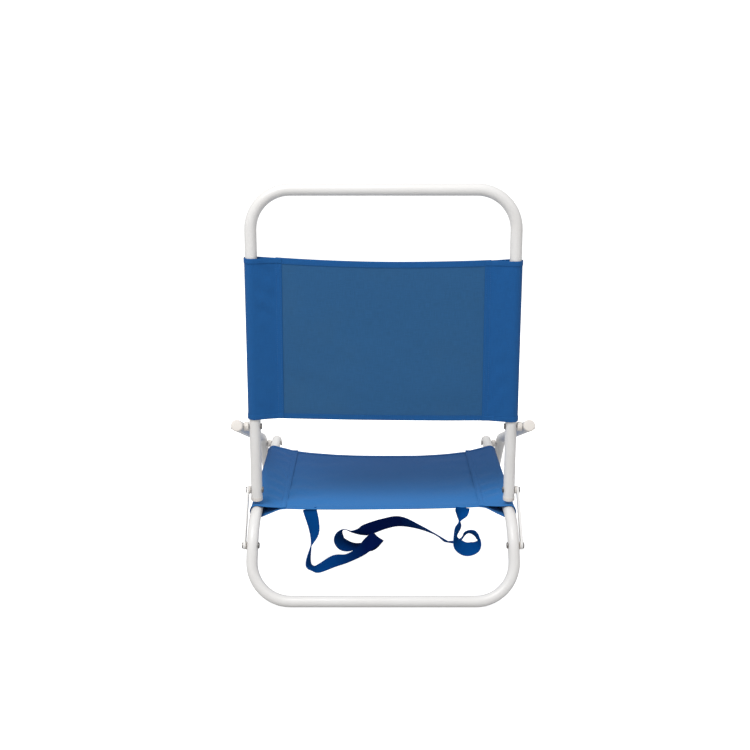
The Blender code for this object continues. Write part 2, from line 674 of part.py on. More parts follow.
def carry_strap():
    """The webbing: a flat section lofted along the route."""
    shell = bmesh.new()
    rings = []
    for middle, width, face in strap_sections():
        half_width = width * STRAP_WIDTH / 2
        half_face = face * STRAP_THICKNESS / 2
        rings.append([shell.verts.new(middle + half_width * across + half_face * through)
                      for across, through in ((1, 1), (-1, 1), (-1, -1), (1, -1))])
    for first, second in zip(rings, rings[1:]):
        for corner in range(4):
            following = (corner + 1) % 4
            shell.faces.new((first[corner], first[following], second[following], second[corner]))
    shell.faces.new(rings[0])
    shell.faces.new(reversed(rings[-1]))
    bmesh.ops.recalc_face_normals(shell, faces=shell.faces)
    bmesh.ops.triangulate(shell, faces=shell.faces)
    mesh = bpy.data.meshes.new("carry_strap")
    shell.to_mesh(mesh)
    shell.free()
    add_object("carry_strap", mesh, WEBBING)


seat_leg_frame()
front_leg_arm_frame()
back_frame()
for side_label, side_sign in SIDES:
    side_fittings(side_label, side_sign)
back_fabric()
seat_fabric()
carry_strap()
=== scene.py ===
# %% [markdown]
# # A low folding camp chair
# This lesson builds a folding chair of bent white tube with blue cloth, one piece at a time.
# The chair was first drawn as plain solids that fix its size and its moving parts.
# Here each solid gets the look of the real piece. We start by loading those solids.

# %% Load the plain chair
import math

import bpy
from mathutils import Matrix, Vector, noise


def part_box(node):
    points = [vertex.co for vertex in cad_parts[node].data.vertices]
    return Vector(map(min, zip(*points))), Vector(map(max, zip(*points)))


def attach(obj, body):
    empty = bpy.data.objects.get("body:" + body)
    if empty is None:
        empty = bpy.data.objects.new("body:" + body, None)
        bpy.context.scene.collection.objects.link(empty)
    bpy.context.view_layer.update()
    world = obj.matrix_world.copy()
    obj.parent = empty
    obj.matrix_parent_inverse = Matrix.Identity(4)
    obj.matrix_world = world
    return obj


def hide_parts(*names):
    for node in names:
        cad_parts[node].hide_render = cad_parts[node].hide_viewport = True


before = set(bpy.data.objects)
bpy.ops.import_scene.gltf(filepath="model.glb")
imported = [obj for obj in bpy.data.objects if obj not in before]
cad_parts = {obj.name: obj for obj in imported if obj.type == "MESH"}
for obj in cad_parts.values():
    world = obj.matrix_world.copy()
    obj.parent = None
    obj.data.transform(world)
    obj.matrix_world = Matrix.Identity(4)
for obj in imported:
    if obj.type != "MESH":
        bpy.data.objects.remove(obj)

for leftover in ("Cube", "Camera", "Light"):
    if leftover in bpy.data.objects:
        bpy.data.objects.remove(bpy.data.objects[leftover], do_unlink=True)

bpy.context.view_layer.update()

# %% [markdown]
# The chair is seen from behind, by a camera a little higher than its back and tilted down.
# A camera's lens length sets how strong the perspective is: about 50 mm is a natural view.

# %% Place the camera
CAMERA_PLACE = (0.0140, 2.0229, 0.675)
CAMERA_TILT_DOWN = math.radians(9)
LENS_MM = 49.6

bpy.ops.object.camera_add(
    location=CAMERA_PLACE,
    rotation=(math.radians(90) - CAMERA_TILT_DOWN, 0, math.radians(180)))
camera = bpy.context.object
camera.name = "camera"
camera.data.lens = LENS_MM
camera.data.sensor_width = 36
camera.data.dof.use_dof = False
bpy.context.scene.camera = camera
print("Camera lens:", camera.data.lens, "mm")

# %% [markdown]
# A seamless studio floor is one sheet that runs under the chair and curves up behind it.
# It starts as a plane. Its far edge is extruded upwards, and the crease is rounded by a bevel.

# %% Lay the studio floor
FLOOR_SIZE = 24
BACKDROP_HEIGHT = 6
BACKDROP_ROUND = 2.5
FLOOR_DROP = 0.0004


def deselect():
    """Leaves nothing selected, so that the next operator acts only on what it is given."""
    if bpy.context.object and bpy.context.object.mode != "OBJECT":
        bpy.ops.object.mode_set(mode="OBJECT")
    bpy.ops.object.select_all(action="DESELECT")


def edit(piece, kind="VERT"):
    """Opens a piece in edit mode with nothing in it selected."""
    deselect()
    piece.select_set(True)
    bpy.context.view_layer.objects.active = piece
    bpy.ops.object.mode_set(mode="EDIT")
    bpy.ops.mesh.select_mode(type=kind)
    bpy.ops.mesh.select_all(action="DESELECT")


def pick(piece, wanted, kind="vertices"):
    """Selects the vertices, edges or faces that a test picks out, while in edit mode."""
    bpy.ops.object.mode_set(mode="OBJECT")
    for item in getattr(piece.data, kind):
        item.select = bool(wanted(item))
    bpy.ops.object.mode_set(mode="EDIT")


deselect()
bpy.ops.mesh.primitive_plane_add(size=FLOOR_SIZE, location=(0, 0, -FLOOR_DROP))
floor = bpy.context.object
floor.name = "studio_floor"
edit(floor, "EDGE")
pick(floor, lambda edge: all(floor.data.vertices[v].co.y < 0 for v in edge.vertices), "edges")
bpy.ops.mesh.extrude_region_move(TRANSFORM_OT_translate={"value": (0, 0, BACKDROP_HEIGHT)})
pick(floor, lambda edge: all(floor.data.vertices[v].co.y < 0
                             and floor.data.vertices[v].co.z < 1 for v in edge.vertices), "edges")
bpy.ops.mesh.bevel(offset=BACKDROP_ROUND, segments=12)
deselect()
print("The floor has", len(floor.data.polygons), "faces")

# %% [markdown]
# Soft studio light comes from large lamps. The main one is high on the camera's side, so the
# back's cloth throws a soft shadow on the front half of the seat. A pale world fills the rest.

# %% Light the studio
def add_softbox(name, place, aim, size, watts):
    """A large square lamp that points at a place."""
    deselect()
    bpy.ops.object.light_add(type="AREA", location=place)
    lamp = bpy.context.object
    lamp.name = name
    lamp.data.size = size
    lamp.data.energy = watts
    lamp.rotation_euler = (Vector(aim) - Vector(place)).to_track_quat("-Z", "Y").to_euler()
    return lamp


add_softbox("main_softbox", (1.0, 2.2, 2.7), (0, 0.1, 0.3), 1.6, 80)
add_softbox("side_softbox", (-2.4, 1.4, 1.4), (0, 0.1, 0.3), 1.6, 8)
add_softbox("backdrop_softbox", (0, -2.2, 3.0), (0, -4.5, 0.6), 3.0, 150)

world = bpy.data.worlds.new("studio_air")
world.use_nodes = True
world.node_tree.nodes["Background"].inputs["Color"].default_value = (1.0, 1.0, 1.0, 1)
world.node_tree.nodes["Background"].inputs["Strength"].default_value = 0.56
bpy.context.scene.world = world
bpy.context.scene.view_settings.view_transform = "Standard"

# %% [markdown]
# ## Patterns that several finishes share
# A node group is a pattern with named inputs, built once and used in many materials.
# Each group here puts out only a mask or a height. The shader stays in the material.

# %% A helper for node groups
def new_group(name, inputs, outputs):
    """An empty node group with number and vector inputs, and its outputs."""
    group = bpy.data.node_groups.new(name, "ShaderNodeTree")
    for label, kind, value in inputs:
        socket = group.interface.new_socket(name=label, in_out="INPUT", socket_type=kind)
        if value is not None:
            socket.default_value = value
    for label, kind in outputs:
        group.interface.new_socket(name=label, in_out="OUTPUT", socket_type=kind)
    start = group.nodes.new("NodeGroupInput")
    end = group.nodes.new("NodeGroupOutput")
    return group, start, end


def add_node(tree, kind, settings=(), values=(), links=()):
    """A node with its settings, its fixed values and its incoming links."""
    node = tree.nodes.new(kind)
    for key, value in dict(settings).items():
        setattr(node, key, value)
    for key, value in dict(values).items():
        node.inputs[key].default_value = value
    for key, source in dict(links).items():
        tree.links.new(source, node.inputs[key])
    return node


def math_node(tree, operation, first, second=None):
    """A Math node on two numbers or sockets."""
    node = tree.nodes.new("ShaderNodeMath")
    node.operation = operation
    for socket, value in zip(node.inputs, (first, second)):
        if value is None:
            continue
        if isinstance(value, (int, float)):
            socket.default_value = value
        else:
            tree.links.new(value, socket)
    return node.outputs[0]


print("Node helpers are ready")

# %% [markdown]
# Plain weave: threads cross over and under each other like a tiny chessboard.
# Two sine waves multiplied give that chessboard. Long, stretched noise adds the thick and thin
# places in the yarn, which is what the eye sees from further away.

# %% The weave pattern
weave, start, end = new_group(
    "plain_weave",
    [("Place", "NodeSocketVector", None), ("Threads per metre", "NodeSocketFloat", 1400.0)],
    [("Height", "NodeSocketFloat"), ("Slub", "NodeSocketFloat")])
parts = add_node(weave, "ShaderNodeSeparateXYZ", links={0: start.outputs["Place"]})
waves = []
for axis in (0, 1):
    turns = math_node(weave, "MULTIPLY", parts.outputs[axis], start.outputs["Threads per metre"])
    waves.append(math_node(weave, "SINE", math_node(weave, "MULTIPLY", turns, math.pi)))
crossing = math_node(weave, "MULTIPLY", waves[0], waves[1])
height = math_node(weave, "MULTIPLY", math_node(weave, "ADD", crossing, 1.0), 0.5)
slubs = []
for stretch in ((900.0, 60.0, 1.0), (60.0, 900.0, 1.0)):
    placed = add_node(weave, "ShaderNodeMapping", values={"Scale": stretch},
                      links={"Vector": start.outputs["Place"]})
    grain = add_node(weave, "ShaderNodeTexNoise", values={"Scale": 1.0, "Detail": 2.0},
                     links={"Vector": placed.outputs[0]})
    slubs.append(grain.outputs["Fac"])
slub = math_node(weave, "MULTIPLY", math_node(weave, "ADD", slubs[0], slubs[1]), 0.5)
weave.links.new(height, end.inputs["Height"])
weave.links.new(slub, end.inputs["Slub"])
print("Group:", weave.name, "with", len(weave.nodes), "nodes")

# %% [markdown]
# Use leaves marks on a finish. Broad noise says where hands and sand rub, and fine noise breaks
# the rubbed places into small specks. Both together give a mask for chips and scuffs.

# %% The wear pattern
wear, start, end = new_group(
    "rubbed_specks",
    [("Place", "NodeSocketVector", None), ("Speck scale", "NodeSocketFloat", 180.0),
     ("Amount", "NodeSocketFloat", 0.5)],
    [("Specks", "NodeSocketFloat"), ("Dirt", "NodeSocketFloat")])
broad = add_node(wear, "ShaderNodeTexNoise", values={"Scale": 9.0, "Detail": 3.0},
                 links={"Vector": start.outputs["Place"]})
fine = add_node(wear, "ShaderNodeTexNoise", values={"Detail": 4.0, "Roughness": 0.7},
                links={"Vector": start.outputs["Place"], "Scale": start.outputs["Speck scale"]})
together = math_node(wear, "ADD", math_node(wear, "MULTIPLY", broad.outputs["Fac"], 0.55),
                     math_node(wear, "MULTIPLY", fine.outputs["Fac"], 0.45))
limit = math_node(wear, "SUBTRACT", 0.78, math_node(wear, "MULTIPLY", start.outputs["Amount"], 0.2))
specks = add_node(wear, "ShaderNodeMapRange", values={"To Min": 0.0, "To Max": 1.0},
                  links={"Value": together, "From Min": limit,
                         "From Max": math_node(wear, "ADD", limit, 0.03)})
dirt = add_node(wear, "ShaderNodeMapRange", values={"From Min": 0.42, "From Max": 0.75},
                links={"Value": broad.outputs["Fac"]})
wear.links.new(specks.outputs["Result"], end.inputs["Specks"])
wear.links.new(dirt.outputs["Result"], end.inputs["Dirt"])
print("Group:", wear.name, "with", len(wear.nodes), "nodes")

# %% [markdown]
# ## Finishes
# White powder coat is baked paint: satin, with a very fine orange-peel texture. It yellows a
# little where it is handled, and it chips down to a dull grey-brown primer.

# %% Painted and moulded white
def new_material(name, roughness, metallic=0.0):
    """A material with a Principled shader, its fixed values set on the shader itself."""
    material = bpy.data.materials.new(name)
    material.use_nodes = True
    shader = material.node_tree.nodes["Principled BSDF"]
    shader.inputs["Roughness"].default_value = roughness
    shader.inputs["Metallic"].default_value = metallic
    return material, material.node_tree, shader


def add_group(tree, group, place, values):
    """A node group placed in a material, fed by a place on the surface."""
    node = tree.nodes.new("ShaderNodeGroup")
    node.node_tree = group
    tree.links.new(place, node.inputs["Place"])
    for key, value in values.items():
        node.inputs[key].default_value = value
    return node


def mix_colours(tree, factor, first, second):
    """A Mix node between two colours or sockets."""
    node = add_node(tree, "ShaderNodeMix", {"data_type": "RGBA"})
    for key, value in (("Factor", factor), ("A", first), ("B", second)):
        socket = node.inputs[0] if key == "Factor" else node.inputs[6 if key == "A" else 7]
        if isinstance(value, (float, tuple)):
            socket.default_value = (*value, 1.0) if isinstance(value, tuple) else value
        else:
            tree.links.new(value, socket)
    return node.outputs[2]


def add_bump(tree, shader, height, distance, strength=1.0):
    """A Bump node from a height, for the shader's normal."""
    bump = add_node(tree, "ShaderNodeBump", values={"Distance": distance, "Strength": strength},
                    links={"Height": height})
    tree.links.new(bump.outputs[0], shader.inputs["Normal"])


def white_finish(name, colour, aged, roughness, specks, peel_scale, peel_depth):
    """A white surface that ages, with its specks and its fine surface texture."""
    material, tree, shader = new_material(name, roughness)
    place = add_node(tree, "ShaderNodeTexCoord").outputs["Object"]
    marks = add_group(tree, wear, place, {"Speck scale": 160.0, "Amount": specks})
    faded = mix_colours(tree, math_node(tree, "MULTIPLY", marks.outputs["Dirt"], 0.5), colour, aged)
    chipped = mix_colours(tree, math_node(tree, "MULTIPLY", marks.outputs["Specks"], 0.6),
                          faded, (0.30, 0.27, 0.24))
    tree.links.new(chipped, shader.inputs["Base Color"])
    rough = math_node(tree, "ADD", roughness,
                      math_node(tree, "MULTIPLY", marks.outputs["Dirt"], 0.12))
    tree.links.new(rough, shader.inputs["Roughness"])
    peel = add_node(tree, "ShaderNodeTexNoise", values={"Scale": peel_scale, "Detail": 2.0},
                    links={"Vector": place})
    add_bump(tree, shader, peel.outputs["Fac"], peel_depth, 0.5)
    return material


powder_coat = white_finish("white_powder_coat", (0.745, 0.735, 0.725), (0.69, 0.67, 0.645),
                           0.30, 0.55, 700.0, 0.0002)
moulded_white = white_finish("moulded_white_plastic", (0.73, 0.69, 0.65), (0.66, 0.62, 0.57),
                             0.45, 0.2, 1600.0, 0.0001)
print("White finishes:", powder_coat.name, moulded_white.name)

# %% [markdown]
# The rivets are plated steel that has gone dark. Their colour varies with the plating, and
# small scratches show as changes in roughness.

# %% Dark plated steel
plated_steel, tree, shader = new_material("dark_plated_steel", 0.38, 0.9)
place = add_node(tree, "ShaderNodeTexCoord").outputs["Object"]
marks = add_group(tree, wear, place, {"Speck scale": 900.0, "Amount": 1.2})
tone = mix_colours(tree, marks.outputs["Specks"], (0.20, 0.19, 0.185), (0.34, 0.31, 0.28))
tree.links.new(tone, shader.inputs["Base Color"])
rough = math_node(tree, "ADD", 0.32, math_node(tree, "MULTIPLY", marks.outputs["Specks"], 0.25))
tree.links.new(rough, shader.inputs["Roughness"])
print("Metal finish:", plated_steel.name)

# %% [markdown]
# The cloth is woven polyester. Every cloth piece carries a UV map in metres, so one weave has
# the same thread size everywhere and follows the cloth round the tubes. The yarn's thick and
# thin places change its colour a little, and broad noise fades it in patches. The seat's cloth
# also runs from dark blue at the front to a lighter blue at the rear. That is shade from the
# chair's back, put into the colour itself, so it stays even where the light moves.

# %% Blue cloth
CLOTH_THREADS = 1500.0
SEAT_PAINTED_SHADE_Y, SEAT_PAINTED_LIGHT_Y = -0.10, 0.24


def cloth_finish(name, colour, faded, threads=CLOTH_THREADS, depth=0.00022, sheen=0.05,
                 painted_light_over=None):
    """Woven cloth: its colours, threads per metre, their depth, and where painted light makes it
    lighter.
    """
    material, tree, shader = new_material(name, 0.82)
    shader.inputs["Sheen Weight"].default_value = sheen
    shader.inputs["Sheen Roughness"].default_value = 0.5
    shader.inputs["Specular IOR Level"].default_value = 0.25
    across = add_node(tree, "ShaderNodeUVMap", {"uv_map": "cloth"}).outputs["UV"]
    place = add_node(tree, "ShaderNodeTexCoord").outputs["Object"]
    yarn = add_group(tree, weave, across, {"Threads per metre": threads})
    sun = add_group(tree, wear, place, {"Speck scale": 60.0, "Amount": 0.0})
    slubs = add_node(tree, "ShaderNodeMapRange", values={"From Min": 0.35, "From Max": 0.65},
                     links={"Value": yarn.outputs["Slub"]})
    dark = tuple(channel * 0.90 for channel in colour)
    light = tuple(min(1.0, channel * 1.08) for channel in colour)
    yarned = mix_colours(tree, slubs.outputs["Result"], dark, light)
    sun_fade_and_painted_light = math_node(tree, "MULTIPLY", sun.outputs["Dirt"], 0.4)
    # Painted light: on the seat, the colour turns from painted shade at the front to painted light
    # at the rear, by the cloth's place from front to back.
    if painted_light_over:
        backwards = add_node(tree, "ShaderNodeSeparateXYZ", links={0: place}).outputs[1]
        painted_light_share = add_node(tree, "ShaderNodeMapRange", {"interpolation_type": "SMOOTHSTEP"},
                           {"From Min": painted_light_over[0], "From Max": painted_light_over[1]},
                           {"Value": backwards})
        sun_fade_and_painted_light = math_node(tree, "MAXIMUM", math_node(tree, "MULTIPLY", sun_fade_and_painted_light, 0.3),
                           painted_light_share.outputs["Result"])
    aged = mix_colours(tree, sun_fade_and_painted_light, yarned, faded)
    tree.links.new(aged, shader.inputs["Base Color"])
    rise = math_node(tree, "ADD", yarn.outputs["Height"],
                     math_node(tree, "MULTIPLY", yarn.outputs["Slub"], 0.8))
    add_bump(tree, shader, rise, depth, 0.7)
    return material


sleeve_cloth = cloth_finish("sleeve_cloth", (0.0060, 0.087, 0.280), (0.010, 0.094, 0.272))
panel_cloth = cloth_finish("panel_cloth", (0.019, 0.097, 0.238), (0.030, 0.102, 0.208))
# The seat's first colour is the painted shade of its front. Its second colour, passed as the faded
# one, is the painted light of its rear, not sun fading.
seat_cloth = cloth_finish("seat_cloth", (0.006, 0.073, 0.238), (0.018, 0.154, 0.430),
                          painted_light_over=(SEAT_PAINTED_SHADE_Y, SEAT_PAINTED_LIGHT_Y))
seam_thread = cloth_finish("seam_thread", (0.020, 0.115, 0.330), (0.026, 0.120, 0.310),
                           threads=4000.0, depth=0.0001)
print("Cloth finishes:", sleeve_cloth.name, panel_cloth.name, seat_cloth.name, seam_thread.name)

# %% [markdown]
# Webbing is woven in ribs that run along it, with a denser edge on each side. Its UV map has
# the distance across it first and the distance along it second, both in metres. It runs from
# navy in the middle, in the seat's shade, to a lighter blue at both ends. As on the seat, that
# shade is part of the colour.

# %% Blue webbing
RIBS_PER_METRE = 640.0
NAVY_REACH, PALE_REACH = 0.03, 0.13

webbing, tree, shader = new_material("blue_webbing", 0.70)
shader.inputs["Specular IOR Level"].default_value = 0.02
across = add_node(tree, "ShaderNodeUVMap", {"uv_map": "cloth"}).outputs["UV"]
yarn = add_group(tree, weave, across, {"Threads per metre": 900.0})
parts = add_node(tree, "ShaderNodeSeparateXYZ", links={0: across})
ribs = math_node(tree, "SINE", math_node(tree, "MULTIPLY", parts.outputs[0],
                                         RIBS_PER_METRE * math.tau))
place = add_node(tree, "ShaderNodeTexCoord").outputs["Object"]
sideways = add_node(tree, "ShaderNodeSeparateXYZ", links={0: place}).outputs[0]
ends = add_node(tree, "ShaderNodeMapRange", values={"From Min": NAVY_REACH, "From Max": PALE_REACH},
                links={"Value": math_node(tree, "ABSOLUTE", sideways)})
navy = mix_colours(tree, yarn.outputs["Slub"], (0.0003, 0.004, 0.046), (0.0005, 0.008, 0.070))
pale = mix_colours(tree, yarn.outputs["Slub"], (0.001, 0.045, 0.200), (0.002, 0.072, 0.285))
tone = mix_colours(tree, ends.outputs["Result"], navy, pale)
tree.links.new(tone, shader.inputs["Base Color"])
rise = math_node(tree, "ADD", yarn.outputs["Height"], math_node(tree, "MULTIPLY", ribs, 0.6))
add_bump(tree, shader, rise, 0.0003, 0.8)
print("Webbing finish:", webbing.name)

# %% [markdown]
# ## The three bent tubes
# A tube bender feeds a straight tube, turns it round a die, and feeds it again. We do the same:
# a ring of vertices is extruded for each straight run, and spun round a centre for each bend.
# The corners below are where the centre-lines of the straight runs would meet.

# %% A tube, pushed and bent
TUBE_RADIUS = 0.010
RING_VERTS = 32
BEND_STEPS = 14


def aim(way):
    """The rotation that turns a primitive's own Z axis along a direction."""
    return Vector(way).to_track_quat("Z", "Y").to_euler()


def finish_piece(piece, body, material, nodes=(), smooth=40):
    """Applies a piece's place, smooths it, gives it its finish, ties it to its body and hides the
    plain solids that it stands for.
    """
    deselect()
    piece.select_set(True)
    bpy.context.view_layer.objects.active = piece
    bpy.ops.object.transform_apply(location=True, rotation=True, scale=True)
    for change in list(piece.modifiers):
        bpy.ops.object.modifier_apply(modifier=change.name)
    bpy.ops.object.shade_smooth_by_angle(angle=math.radians(smooth))
    piece.data.materials.clear()
    piece.data.materials.append(material)
    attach(piece, body)
    if nodes:
        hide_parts(*nodes)
    return piece


def close_shell(piece):
    """Fills the open ends of a shell and points its faces outwards."""
    edit(piece)
    bpy.ops.mesh.select_non_manifold()
    bpy.ops.mesh.fill()
    bpy.ops.mesh.select_all(action="SELECT")
    bpy.ops.mesh.normals_make_consistent(inside=False)
    deselect()


def bend_tube(name, half_corners, half_radii):
    """A tube along one side's corners and back along the other side's."""
    corners = [Vector(place) for place in half_corners]
    corners += [Vector((-place.x, place.y, place.z)) for place in reversed(corners)]
    radii = half_radii + half_radii[::-1]
    deselect()
    bpy.ops.mesh.primitive_circle_add(vertices=RING_VERTS, radius=TUBE_RADIUS,
                                      location=corners[0], rotation=aim(corners[1] - corners[0]))
    tube = bpy.context.object
    tube.name = name
    bpy.ops.object.mode_set(mode="EDIT")
    bpy.ops.mesh.select_all(action="SELECT")
    here = corners[0]
    for before, corner, after, radius in zip(corners, corners[1:], corners[2:], radii):
        back, onward = (before - corner).normalized(), (after - corner).normalized()
        half_angle = back.angle(onward) / 2
        reach = radius / math.tan(half_angle)
        centre = corner + (back + onward).normalized() * radius / math.sin(half_angle)
        spoke = corner + back * reach - centre
        bpy.ops.mesh.extrude_region_move(
            TRANSFORM_OT_translate={"value": corner + back * reach - here})
        bpy.ops.mesh.spin(steps=BEND_STEPS, angle=-(math.pi - 2 * half_angle),
                          center=centre, axis=spoke.cross(-back).normalized())
        here = corner + onward * reach
    bpy.ops.mesh.extrude_region_move(TRANSFORM_OT_translate={"value": corners[-1] - here})
    deselect()
    close_shell(tube)
    return tube


SEAT_X, ARM_X, FLOOR_RAIL_Z = 0.225, 0.253, 0.00981

seat_tube = bend_tube("seat_leg_tube", [(SEAT_X, -0.1519, 0.18818), (SEAT_X, 0.29234, 0.14149),
                                        (0.229, 0.322, FLOOR_RAIL_Z)], [0.065, 0.067])
finish_piece(seat_tube, "seat_base", powder_coat, ["seat_leg_frame"])

arm_tube = bend_tube("arm_leg_tube", [(ARM_X, 0.26594, 0.30755), (ARM_X, -0.11838, 0.20096),
                                      (ARM_X, -0.322, FLOOR_RAIL_Z)], [0.050, 0.067])
finish_piece(arm_tube, "front_frame", powder_coat, ["front_leg_arm_frame"])

back_tube = bend_tube("back_tube", [(SEAT_X, 0.2335, 0.17226), (0.219, 0.31099, 0.710)], [0.067])
finish_piece(back_tube, "back", powder_coat, ["back_frame"])
for tube in (seat_tube, arm_tube, back_tube):
    print(tube.name, "has", len(tube.data.polygons), "faces")

# %% [markdown]
# ## Rivets, spacers and washers
# A rivet is a shank with a domed head pressed on each end. We start from a short cylinder for
# the head, bevel its outer rim into a dome, then inset its back face and extrude the shank.
# The plain solids already stand in the right places, so each box gives a piece its place.

# %% Rivets
HEAD_THICKNESS = 0.0019
SHANK_RADIUS = 0.003


def middle_of(node):
    """The middle of a plain solid's box, and half of its size."""
    low, high = (Vector(corner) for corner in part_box(node))
    return (low + high) / 2, (high - low) / 2


def one_head(name, place, way, radius, shank):
    """A domed rivet head whose back face is at a place, with its shank behind it."""
    deselect()
    way = Vector(way)
    bpy.ops.mesh.primitive_cylinder_add(vertices=28, radius=radius, depth=HEAD_THICKNESS,
                                        location=Vector(place) + way * HEAD_THICKNESS / 2,
                                        rotation=aim(way))
    head = bpy.context.object
    head.name = name
    deselect()
    head.select_set(True)
    bpy.ops.object.transform_apply(location=True, rotation=True, scale=True)
    edit(head, "FACE")
    pick(head, lambda face: face.normal.dot(way) > 0.9, "polygons")
    bpy.ops.mesh.bevel(offset=HEAD_THICKNESS * 0.8, segments=5, profile=0.6)
    pick(head, lambda face: face.normal.dot(way) < -0.9, "polygons")
    bpy.ops.mesh.inset(thickness=radius - SHANK_RADIUS)
    bpy.ops.mesh.extrude_region_move(TRANSFORM_OT_translate={"value": -way * shank})
    deselect()
    return head


def add_rivet(node, body, outer, inner):
    """A rivet across the chair in a plain rivet's place, with an outer and an inner head."""
    middle, half = middle_of(node)
    out = Vector((math.copysign(1, middle.x), 0, 0))
    heads = (outer + inner) * HEAD_THICKNESS
    shank = 2 * half.x - heads
    first_way = out if outer else -out
    face = middle + first_way * (half.x - HEAD_THICKNESS)
    rivet = one_head(node + "_piece", face, first_way, half.y, shank / (outer + inner))
    if outer and inner:
        other = one_head("other_head", middle - out * (half.x - HEAD_THICKNESS), -out, half.y,
                         shank / 2)
        deselect()
        other.select_set(True)
        rivet.select_set(True)
        bpy.context.view_layer.objects.active = rivet
        bpy.ops.object.join()
    return finish_piece(rivet, body, plated_steel, [node])


for side in ("left", "right"):
    add_rivet(f"arm_rivet_{side}", "front_frame", True, False)
    add_rivet(f"arm_rivet_inner_{side}", "back", False, True)
    add_rivet(f"seat_rivet_{side}", "front_frame", True, True)
    add_rivet(f"link_upper_rivet_{side}", "links", True, True)
    add_rivet(f"link_lower_rivet_{side}", "links", True, True)

# %% [markdown]
# A spacer keeps two tubes apart, and a washer lets a link turn without rubbing the paint.
# Both are short moulded sleeves. A cylinder's end faces are inset and bridged to make the bore.

# %% Spacers and washers
BORE_RADIUS = 0.0033


def add_ring(node, body):
    """A moulded ring with softened rims, in a plain ring's place."""
    middle, half = middle_of(node)
    deselect()
    bpy.ops.mesh.primitive_cylinder_add(vertices=32, radius=half.y, depth=2 * half.x,
                                        location=middle, rotation=aim((1, 0, 0)))
    ring = bpy.context.object
    ring.name = node + "_ring"
    bpy.ops.object.transform_apply(location=True, rotation=True, scale=True)
    edit(ring, "FACE")
    pick(ring, lambda face: abs(face.normal.x) > 0.9, "polygons")
    bpy.ops.mesh.inset(thickness=half.y - BORE_RADIUS)
    bpy.ops.mesh.bridge_edge_loops()
    deselect()
    soft_rim = ring.modifiers.new("soft_rim", "BEVEL")
    soft_rim.width = 0.0006
    soft_rim.segments = 3
    return finish_piece(ring, body, moulded_white, [node])


for side in ("left", "right"):
    add_ring(f"arm_spacer_{side}", "front_frame")
    add_ring(f"seat_spacer_{side}", "front_frame")
    add_ring(f"link_upper_washer_{side}", "links")
    add_ring(f"link_lower_washer_{side}", "links")

# %% [markdown]
# ## The links
# A link is a flat bar with round ends. It starts as a disc at the lower rivet. The upper half
# of the disc is pulled up to the other rivet, which leaves a perfect round at both ends.

# %% Flat links
LINK_RADIUS = 0.007


def add_link(side):
    """A flat link between its two rivets, with softened edges."""
    top, _ = middle_of(f"link_upper_rivet_{side}")
    foot, _ = middle_of(f"link_lower_rivet_{side}")
    middle, half = middle_of(f"link_{side}")
    run = Vector((0, top.y - foot.y, top.z - foot.z))
    deselect()
    bpy.ops.mesh.primitive_cylinder_add(vertices=48, radius=LINK_RADIUS, depth=2 * half.x,
                                        location=(middle.x, foot.y, foot.z),
                                        rotation=aim((1, 0, 0)))
    bar = bpy.context.object
    bar.name = f"link_bar_{side}"
    bpy.ops.object.transform_apply(location=True, rotation=True, scale=True)
    centre = Vector((middle.x, foot.y, foot.z))
    edit(bar)
    pick(bar, lambda vert: (vert.co - centre).dot(run) > 0)
    bpy.ops.transform.translate(value=run)
    deselect()
    soft_edge = bar.modifiers.new("soft_edge", "BEVEL")
    soft_edge.width = 0.0009
    soft_edge.segments = 3
    return finish_piece(bar, "links", powder_coat, [f"link_{side}"])


for side in ("left", "right"):
    add_link(side)
print("Link length between rivets:", round(
    (middle_of("link_upper_rivet_left")[0] - middle_of("link_lower_rivet_left")[0]).length, 4))

# %% [markdown]
# ## End caps
# A moulded cap closes each open tube end. It is a short cylinder a little wider than the tube.
# Its outer rim gets a wide bevel, which makes the soft dome, and a stem goes into the tube.

# %% Caps
CAP_RADIUS = 0.0104
STEM_RADIUS = 0.0072
STEM_LENGTH = 0.007


def add_cap(name, end, way, length, dome, body):
    """A cap on a tube end, with its dome pointing along the way."""
    way = Vector(way).normalized()
    end = Vector(end)
    deselect()
    bpy.ops.mesh.primitive_cylinder_add(vertices=40, radius=CAP_RADIUS, depth=length,
                                        location=end + way * length / 2, rotation=aim(way))
    cap = bpy.context.object
    cap.name = name + "_moulding"
    bpy.ops.object.transform_apply(location=True, rotation=True, scale=True)
    edit(cap, "FACE")
    pick(cap, lambda face: face.normal.dot(way) > 0.9, "polygons")
    bpy.ops.mesh.bevel(offset=dome, segments=6, profile=0.5)
    pick(cap, lambda face: face.normal.dot(way) < -0.9, "polygons")
    bpy.ops.mesh.inset(thickness=CAP_RADIUS - STEM_RADIUS)
    bpy.ops.mesh.extrude_region_move(TRANSFORM_OT_translate={"value": -way * STEM_LENGTH})
    deselect()
    return finish_piece(cap, body, moulded_white, [name])


ARM_WAY = Vector((0, math.cos(math.radians(15.5)), math.sin(math.radians(15.5))))
RAIL_WAY = Vector((0, math.cos(math.radians(6)), -math.sin(math.radians(6))))
BACK_WAY = Vector((0, math.sin(math.radians(8.2)), math.cos(math.radians(8.2))))
for side, sign in (("left", 1), ("right", -1)):
    add_cap(f"arm_cap_{side}", (sign * ARM_X, 0.26594, 0.30755), ARM_WAY, 0.007, 0.0026,
            "front_frame")
    add_cap(f"seat_rail_cap_{side}", (sign * SEAT_X, -0.1519, 0.18818), -RAIL_WAY, 0.004, 0.0026,
            "seat_base")
    add_cap(f"back_foot_cap_{side}", (sign * SEAT_X, 0.2335, 0.17226),
            (sign * 0.0109, -BACK_WAY.y, -BACK_WAY.z), 0.0067, 0.0012, "back")
print("Caps: six")

# %% [markdown]
# ## Cloth
# Cloth is cut flat, so each piece starts as a flat grid with a UV map. We then say where each
# part of the cut goes: round a tube, along a seam or across the gap. That is how the weave
# stays true to the cloth. Solidify gives the cloth its thickness at the end.

# %% A flat cut of cloth
CLOTH_THICKNESS = 0.0009


